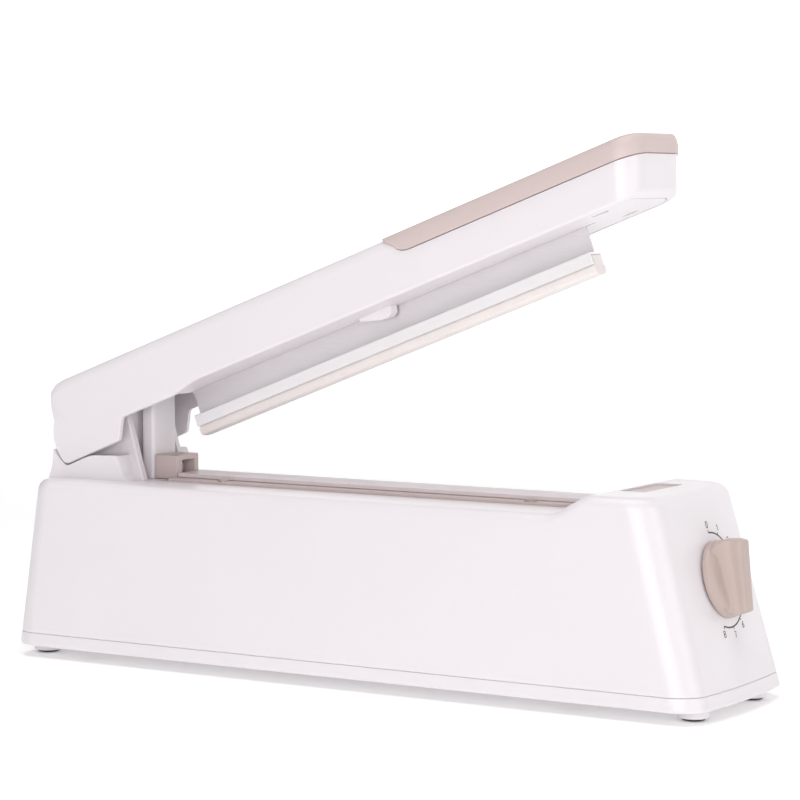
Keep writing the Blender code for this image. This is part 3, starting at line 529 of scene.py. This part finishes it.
def make_base_tray():
    rings = [housing_ring(lambda x: FOOT_Z, 1.2), housing_ring(lambda x: FOOT_Z + 0.12, 0.80),
             housing_ring(lambda x: FOOT_Z + 0.4, 0.35),
             housing_ring(lambda x: FOOT_Z + 0.78, 0.10), housing_ring(lambda x: FOOT_Z + 1.3, 0.0),
             housing_ring(lambda x: PART_Z - 0.35, 0.0), housing_ring(lambda x: PART_Z - 0.1, 0.1),
             housing_ring(lambda x: PART_Z, 0.2),
             housing_ring(lambda x: PART_Z, WALL + GAP), housing_ring(lambda x: 13.2, WALL + GAP),
             housing_ring(lambda x: 13.2, WALL + 2.0), housing_ring(lambda x: 7.4, WALL + 2.0)]
    tray = solid("base_tray_look", *loft(rings))
    for x, y in FOOT_XY.values():
        cup = [(5.5, 1.2), (5.85, 1.22), (6.1, 1.38), (6.2, 1.7), (6.2, 6.0)]
        combine(tray, solid("cup", *lathe(cup, (x, y, 0), (0, 0, 1))), 'UNION')
        drill(tray, 5.2, 0.0, 3.7, (x, y, 0), (0, 0, 1))
    for x, y in SCREW_XY:
        drill(tray, 3.6, 3.0, 9.0, (x, y, 0), (0, 0, 1), 40)
    for i in range(7):
        x = -45 + 9 * i
        combine(tray, solid("vent", *prism_z(rounded(x - 1.2, x + 1.2, -16, 16, 1.1), 2.0, 10.0)))
    piece(tray, "base_tray", angle=28)


def make_feet():
    for node, (x, y) in FOOT_XY.items():
        side = [(3.0, 0.0), (3.4, 0.02), (3.9, 0.12), (4.4, 0.32), (4.72, 0.6), (4.9, 0.95),
                (4.9, 3.4)]
        piece(solid(node + "_look", *lathe(side, (x, y, 0), (0, 0, 1))), node)


# ---- timer end -----------------------------------------------------------------------------
def end_face(y, z, lift):
    """Point on the crowned timer end, in CAD millimetres."""
    half = HALF_W - SLOPE_Y * (z - FOOT_Z)
    x = HALF_L - SLOPE_R * (z - FOOT_Z) + CROWN_R * (1 - (y / half) ** 2)
    return (x + lift, y, z)


def make_knob():
    o, n = DIAL_ORIGIN, DIAL_AXIS
    up = Vector((-SLOPE_R, 0, 1)).normalized()

    def at(a, b, c):
        return tuple(o + Vector((0, 1, 0)) * a + up * b + n * c)
    disc = [(3.2, 0.6), (KNOB_R - 0.5, 0.6), (KNOB_R - 0.12, 0.72), (KNOB_R, 1.05), (KNOB_R, 2.3),
            (KNOB_R - 0.15, 2.75), (KNOB_R - 0.5, 3.2), (KNOB_R - 1.5, 4.1), (KNOB_R - 2.5, 4.65),
            (KNOB_R - 4.0, 4.85), (9.0, 4.9)]
    knob = solid("timer_knob_look", *lathe(disc, o, n, 128))
    half = [(9.5, 3.8), (8.4, 4.3), (7.4, 4.95), (6.4, 5.75), (5.6, 6.65), (4.95, 7.7),
            (4.5, 8.9), (4.15, 10.2), (4.0, 11.4), (3.95, 12.6), (3.88, 13.6), (3.7, 14.4),
            (3.3, 15.0), (2.7, 15.35), (2.0, 15.4)]
    sec = half + [(-a, c) for a, c in reversed(half)]
    bar = solid("bar", *loft([[at(a, b, 3.8 + (c - 3.8) * (0.73 + 0.27 * b / 16)) for a, c in sec]
                              for b in (-16.0, 16.0)]))
    trim = [(15.2, 2.0), (15.15, 3.5), (15.0, 6.0), (14.75, 9.0), (14.3, 11.5), (13.6, 13.4),
            (12.6, 14.6), (11.3, 15.3), (9.6, 15.7), (7.0, 17.0)]
    combine(bar, solid("trim", *lathe(trim, o, n, 128)), 'INTERSECT')
    combine(knob, bar, 'UNION')
    drill(knob, 3.2, -2.0, 9.0, o, n)
    bevel(knob, 0.35, 3, 35)
    piece(knob, "timer_knob", angle=40)


def stroke(points, width):
    """Closed strip of quads along a polyline, as a thin solid on the end face."""
    n = len(points)
    left, right = [], []
    for i, p in enumerate(points):
        a, b = points[max(0, i - 1)], points[min(n - 1, i + 1)]
        d = Vector((b[0] - a[0], b[1] - a[1])).normalized() * width / 2
        left.append((p[0] - d.y, p[1] + d.x))
        right.append((p[0] + d.y, p[1] - d.x))
    rings = []
    for p, q in zip(left, right):
        rings.append([end_face(p[0], DIAL_Z + p[1], INK_LOW), end_face(q[0], DIAL_Z + q[1], INK_LOW),
                      end_face(q[0], DIAL_Z + q[1], INK_HIGH),
                      end_face(p[0], DIAL_Z + p[1], INK_HIGH)])
    return loft(rings)


# plain numerals drawn as strokes on a 2 x 3 grid
GLYPH = {
    "0": [[(0.3, 0), (0, .5), (0, 2.5), (.3, 3), (1.5, 3), (1.8, 2.5), (1.8, .5), (1.5, 0), (.3, 0)]],
    "1": [[(0.4, 2.4), (1.1, 3), (1.1, 0)]],
    "2": [[(0, 2.5), (.4, 3), (1.4, 3), (1.8, 2.5), (1.8, 2.0), (0, 0), (1.8, 0)]],
    "3": [[(0, 3), (1.8, 3), (.9, 1.8), (1.5, 1.7), (1.8, 1.2), (1.8, .5), (1.4, 0), (.4, 0), (0, .4)]],
    "4": [[(1.3, 0), (1.3, 3), (0, .9), (1.9, .9)]],
    "5": [[(1.7, 3), (.2, 3), (.1, 1.7), (1.2, 1.8), (1.8, 1.3), (1.8, .5), (1.3, 0), (.3, 0), (0, .3)]],
    "6": [[(1.6, 2.9), (.7, 2.6), (.1, 1.5), (0, .6), (.4, 0), (1.4, 0), (1.8, .5), (1.8, 1.1),
           (1.4, 1.6), (.4, 1.6), (.05, 1.2)]],
    "7": [[(0, 3), (1.8, 3), (.6, 0)]],
    "8": [[(.4, 1.6), (.1, 2.1), (.1, 2.6), (.5, 3), (1.3, 3), (1.7, 2.6), (1.7, 2.1), (1.4, 1.6),
           (.4, 1.6), (0, 1.1), (0, .4), (.4, 0), (1.4, 0), (1.8, .4), (1.8, 1.1), (1.4, 1.6)]],
}
DIAL_R, DIAL_STEP, DIAL_SWEEP = 18.2, 25.0, 200.0
TICK, TICK_WIDTH, ARC_WIDTH = 1.0, 0.42, 0.55
GLYPH_OUT, GLYPH_SCALE, GLYPH_WIDTH = 3.1, 0.76, 0.34
INK_LOW, INK_HIGH = 0.02, 0.08     # the ink's two faces above the end face


def make_dial_print():
    marks = []
    bow = []
    for i in range(101):
        a = math.radians(DIAL_SWEEP * i / 100)
        bow.append((DIAL_R * math.sin(a), DIAL_R * math.cos(a)))
    marks.append(stroke(bow, ARC_WIDTH))
    for i in range(9):
        a = math.radians(DIAL_STEP * i)
        s, c = math.sin(a), math.cos(a)
        outer = DIAL_R + TICK
        marks.append(stroke([(DIAL_R * s, DIAL_R * c), (outer * s, outer * c)], TICK_WIDTH))
        cx, cy = (DIAL_R + GLYPH_OUT) * s, (DIAL_R + GLYPH_OUT) * c
        for line in GLYPH[str(i)]:
            marks.append(stroke([(cx + (x - 0.9) * GLYPH_SCALE, cy + (y - 1.5) * GLYPH_SCALE)
                                 for x, y in line], GLYPH_WIDTH))
    ob = solid("dial_print", *join(*marks))
    piece(ob, "base_shell", name="dial_print", material=INK)


# ---- deck ----------------------------------------------------------------------------------
def make_guide_post():
    post = solid("guide_post_look", *prism_z(rounded(-119.0, -112.2, -8.4, 8.4, 1.8, 12),
                                             DECK_Z + 0.1, 117.0))
    drill(post, 2.7, 96.0, 125.0, (POST_X, 0, 0), (0, 0, 1))
    piece(post, "guide_post", angle=35)


def make_return_spring():
    """Drawn at its closed height, so that it stands clear of the arm in every pose."""
    r, wire, z0, z1, turns, n, k = 2.0, 0.35, 96.2, 121.0, 11, 40, 14
    rings = []
    for i in range(turns * n + 1):
        t = i / (turns * n)
        a = 2 * math.pi * turns * t
        e = min(1.0, max(0.0, (t * turns - 0.8) / (turns - 1.6)))
        z = z0 + wire + (z1 - z0 - 2 * wire) * e + wire * 1.6 * (t - e)
        rings.append([(POST_X + math.cos(a) * (r + wire * math.cos(2 * math.pi * j / k)),
                       math.sin(a) * (r + wire * math.cos(2 * math.pi * j / k)),
                       z + wire * math.sin(2 * math.pi * j / k)) for j in range(k)])
    piece(solid("return_spring_look", *loft(rings)), "return_spring", angle=60)


# ---- arm -----------------------------------------------------------------------------------
def arm_half_width(x):
    return ARM_W0 - (ARM_W0 - ARM_W1) * min(1.0, max(0.0, (x - TAPER_X)
                                                          / (ARM_X1 - TAPER_X)))


def arm_low(x):
    if x < CHEEK_X:
        return ARM_LOW_Z
    return ARM_LOW_Z + RISE * smooth((x - RISE_X) / RISE_L)


def arm_high(x):
    table = [(-154.3, 105.6), (-153.6, 109.5), (-152.4, 115.0), (-151.0, 119.6),
             (-149.4, 122.2), (-146.8, 123.7), (-142.8, ARM_TOP), (400.0, ARM_TOP)]
    for (xa, za), (xb, zb) in zip(table, table[1:]):
        if x <= xb:
            return za + (zb - za) * (x - xa) / (xb - xa)
    return ARM_TOP


def arm_section(x, inset=0.0, proud=0.0, low=None, high=None, top_r=5.0, side=0.0):
    """Closed section of the arm at x in (y, z), rounded along its top and bottom edges."""
    w = arm_half_width(x) - inset + proud - side
    z0 = arm_low(x) if low is None else low
    z1 = (arm_high(x) - inset + proud) if high is None else high
    rt = max(0.4, min(top_r - inset + proud, w - 0.5, (z1 - z0) / 2 - 0.1))
    rl = max(0.2, min(ARM_LOW_R, (z1 - z0) / 2 - 0.1))
    pts = arc(w - rt, z1 - rt, rt, 0, 90, 14) + arc(-(w - rt), z1 - rt, rt, 90, 180, 14)
    pts += arc(-(w - rl), z0 + rl, rl, 180, 270, 5) + arc(w - rl, z0 + rl, rl, 270, 360, 5)
    return pts


def lean(x, z):
    """The tip's end face leans outwards towards the top."""
    return x + LEAN * smooth((x - LEAN_X) / LEAN_L) * (z - ARM_TOP) / ARM_DEPTH


def beam(stations, **kw):
    """Skin along the arm. A station is x, narrowing of each side, and cut off top and bottom."""
    rings = []
    for x, side, extra in stations:
        args = dict(kw)
        if extra:
            args["low"] = (kw.get("low") or arm_low(x)) + extra
            args["high"] = (kw.get("high") or arm_high(x) - kw.get("inset", 0.0)
                            + kw.get("proud", 0.0)) - extra
        sec = arm_section(x, side=side, **args)
        rings.append([(lean(x, z), y, z) for y, z in sec])
    return loft(rings)


def tip(x_end, r):
    """Stations round the corner of the free end."""
    out = []
    for i in range(13):
        a = math.radians(90 * i / 12)
        c = 1 - math.cos(a)
        out.append((x_end - r * (1 - math.sin(a)), r * c, r * 0.25 * c))
    return out


def grip_region(x_shift, z_low):
    """Side profile of the space that the grip cover takes up, with its S-shaped rear end."""
    corner = [(GRIP_X - 3.6, 3.4), (GRIP_X - 2.9, 2.35), (GRIP_X - 2.0, 1.5), (GRIP_X - 1.0, 0.85),
              (GRIP_X + 0.2, 0.4), (GRIP_X + 1.6, 0.1), (GRIP_X + 3.0, 0.0)]
    return ([(GRIP_X - 11.4 + x_shift, 140.0), (GRIP_X - 10.6 + x_shift, 125.5)]
            + [(x + x_shift, z_low + dz) for x, dz in corner]
            + [(190.0, z_low), (190.0, 140.0)])


# stations near the free end, then the inside of its rounding
SLIM = [(x, 0, 0) for x in (118, 121, 124, 127, 130, 133, 136, 139, 141.5)]
HOLLOW_TIP = SLIM + [(144.5, 0.5, 0), (147.0, 1.9, 0), (149.2, 4.2, 0), (150.6, 7.0, 0)]


def make_arm_shell():
    st = [(-154.3, 5.0, 0.0), (-154.0, 4.0, 0.0), (-153.6, 3.2, 0.0), (-153.0, 2.45, 0.0),
          (-152.4, 1.8, 0.0), (-151.7, 1.3, 0.0), (-151.0, 0.9, 0.0), (-150.2, 0.6, 0.0),
          (-149.4, 0.4, 0.0), (-148.1, 0.22, 0.0), (-146.8, 0.1, 0.0), (-144.8, 0.03, 0.0),
          (-142.8, 0.0, 0.0)]
    st += [(x, 0.0, 0.0) for x in [-113, -110, -96, -91] + [-90 + 1.5 * i for i in range(13)]
           + [-30, 20, 60, 100]] + SLIM
    st += tip(ARM_X1, TIP_R)
    arm = solid("arm_shell_look", *beam(st), lift=True)
    cheek = [(-150.4, 110.0), (-151.9, 107.8), (-153.1, 105.4), (-153.9, 103.4), (-154.4, 101.6),
             (-154.63, 100.1), (-154.7, 98.6), (-154.66, 96.9), (-154.5, 95.2), (-154.2, 93.5),
             (-153.8, 92.0), (-153.4, 90.8), (-152.9, 89.8), (-152.5, 89.3), (-152.0, 88.9),
             (-151.35, 88.55), (-150.6, 88.4), (-123.0, 89.0), (-122.0, 89.05), (-121.2, 89.3),
             (-120.65, 89.7), (-120.2, 90.4), (-116.9, 96.4), (-116.4, 97.2), (-115.6, 97.8),
             (-114.8, 98.2), (-113.8, 98.4), (-113.8, 110.0)]
    cheeks = baked(bevel(solid("cheeks", *prism_y(cheek, -ARM_W0, ARM_W0), lift=True), 0.8, 3, 50))
    combine(arm, cheeks, 'UNION')
    zone = solid("grip_zone", *prism_y(grip_region(0.0, GRIP_Z), -40.0, 40.0), lift=True)
    seat = solid("grip_seat", *beam([(0, 0, 0), (30, 0, 0), (100, 0, 0)] + SLIM
                                    + [(ARM_X1 - 8.0, 0.9, 0), (ARM_X1 - 5.0, 3.0, 0),
                                       (ARM_X1 - 2.8, 6.5, 0)],
                                    inset=2.5, low=90.0), lift=True)
    combine(zone, seat)
    combine(arm, zone)
    rear = beam([(-151.8, 3.0, 0), (-150.4, 1.4, 0), (-148.4, 0.4, 0), (-144.8, 0, 0),
                 (-113, 0, 0), (-60, 0, 0), (28.0, 0, 0)], inset=WALL, low=80.0)
    combine(arm, solid("hollow_rear", *rear, lift=True))
    front = beam([(20, 0, 0), (60, 0, 0)] + HOLLOW_TIP, inset=WALL + 0.25,
                 low=79.0, high=113.4, top_r=3.4)
    combine(arm, solid("hollow_front", *front, lift=True))
    combine(arm, solid("rear_mouth", *box(-170, -147.8, -23.9, 23.9, 80.0, 105.4), lift=True))
    for s in (-1, 1):
        boss = lathe([(7.0, 17.2), (7.0, 25.0)], PIVOT, (0, s, 0), 48)
        combine(arm, solid("boss", *boss, lift=True), 'UNION')
        drill(arm, PIN_BORE_R, 15.0, 22.6, PIVOT, (0, s, 0), 48, lift=True)
    piece(arm, "arm_shell", angle=30)


def make_grip_cover():
    st = [(0, 0, 0), (30, 0, 0), (60, 0, 0), (100, 0, 0)] + SLIM + tip(ARM_X1 + 0.5, TIP_R)
    grip = solid("grip_cover_look", *beam(st, proud=1.0, low=96.0, top_r=5.0), lift=True)
    keep = solid("grip_keep", *prism_y(grip_region(GAP, GRIP_Z + GAP), -40.0, 40.0), lift=True)
    combine(grip, keep, 'INTERSECT')
    core = solid("grip_core", *beam([(-10, 0, 0), (30, 0, 0), (100, 0, 0)] + SLIM
                                    + [(ARM_X1 - 8.0 + GAP, 0.9, 0), (ARM_X1 - 5.0 + GAP, 3.0, 0),
                                       (ARM_X1 - 2.8 + GAP, 6.5, 0)],
                                    inset=2.2, low=90.0), lift=True)
    combine(grip, core)
    bevel(grip, 0.30, 3, 40)
    piece(grip, "grip_cover", angle=34)


make_base_shell()
make_base_tray()
make_feet()
make_knob()
make_dial_print()
make_guide_post()
make_return_spring()
make_arm_shell()
make_grip_cover()


# ---- finish of the carried-over CAD parts --------------------------------------------------
EDGE = {"deck_inlay": 0.25, "end_block": 0.30, "lamp_window": 0.25, "press_channel": 0.12,
        "seal_rail": 0.20, "arm_cover": 0.30, "silicone_strip": 0.15, "press_web": 0.10,
        "strip_clamp_knob": 0.15, "strip_clamp_hinge": 0.15, "switch_body": 0.2}
for node, ob in frame["nodes"].items():
    ob.data.materials.clear()
    ob.data.materials.append(MAT[SLOT[node]])
    ob.data.polygons.foreach_set("material_index", [0] * len(ob.data.polygons))
    ob.data.polygons.foreach_set("use_smooth", [True] * len(ob.data.polygons))
    weld = ob.modifiers.new("weld", 'WELD')
    weld.merge_threshold = 0.000002
    if node in EDGE:
        bevel(ob, EDGE[node], 2, 40)
    split = ob.modifiers.new("corners", 'EDGE_SPLIT')
    split.split_angle = math.radians(32)
    even = ob.modifiers.new("even_normals", 'WEIGHTED_NORMAL')
    even.keep_sharp = True


# ---- floor and light -----------------------------------------------------------------------
def make_stage():
    """Paper floor that curves up into a back wall, in metres."""
    n, far = 24, 3.2
    cove_y, cove_r, wall_y, wall_top = 2.2, 1.2, 3.4, 3.4
    rings = [[(-far, -far, 0.0), (far, -far, 0.0)], [(-far, cove_y, 0.0), (far, cove_y, 0.0)]]
    for i in range(1, n + 1):
        a = math.radians(90 * i / n)
        y, z = cove_y + cove_r * math.sin(a), cove_r * (1 - math.cos(a))
        rings.append([(-far, y, z), (far, y, z)])
    rings.append([(-far, wall_y, wall_top), (far, wall_y, wall_top)])
    verts = [p for r in rings for p in r]
    faces = [(2 * i, 2 * i + 1, 2 * i + 3, 2 * i + 2) for i in range(len(rings) - 1)]
    me = bpy.data.meshes.new("floor")
    me.from_pydata(verts, [], faces)
    me.polygons.foreach_set("use_smooth", [True] * len(me.polygons))
    floor = bpy.data.objects.new("floor", me)
    bpy.context.scene.collection.objects.link(floor)
    mat, tree, bsdf, at = node_material("floor_paper")
    tone = noise(tree, at, 3.0)
    tree.links.new(blended(tree, tone, (0.93, 0.93, 0.93), (0.96, 0.96, 0.96)),
                   bsdf.inputs["Base Color"])
    bsdf.inputs["Roughness"].default_value = 0.9
    bsdf.inputs["Emission Color"].default_value = (1, 1, 1, 1)
    length = tree.nodes.new("ShaderNodeVectorMath")
    length.operation = 'LENGTH'
    tree.links.new(at, length.inputs[0])
    tree.links.new(spread(tree, length.outputs["Value"], 0.22, 0.75, 0.6, 2.4),
                   bsdf.inputs["Emission Strength"])
    me.materials.append(mat)


def area(name, at, aim, size, power, size_y=None):
    data = bpy.data.lights.new(name, 'AREA')
    data.shape = 'RECTANGLE'
    data.size, data.size_y = size, size_y or size
    data.energy = power
    ob = bpy.data.objects.new(name, data)
    ob.location = at
    ob.rotation_euler = (Vector(aim) - Vector(at)).to_track_quat('-Z', 'Y').to_euler()
    bpy.context.scene.collection.objects.link(ob)


make_stage()
world = bpy.data.worlds.new("studio")
bpy.context.scene.world = world
world.use_nodes = True
world.node_tree.nodes["Background"].inputs["Color"].default_value = (1, 1, 1, 1)
world.node_tree.nodes["Background"].inputs["Strength"].default_value = 0.26
area("top", (0.0, -0.2, 1.6), (0, 0, 0.05), 1.6, 16.0, 1.2)
area("fill", (0.58, -1.15, 0.25), (0, 0, 0.10), 0.9, 6.0, 0.6)
area("key", (-1.1, -1.3, 0.9), (0, 0, 0.10), 0.9, 1.0)
area("rim", (1.4, -0.2, 0.45), (-0.05, 0, 0.10), 0.7, 2.6)
bpy.context.scene.view_settings.view_transform = 'Standard'

# ---- the end ---------------------------------------------------------------------------------
bpy.context.view_layer.update()
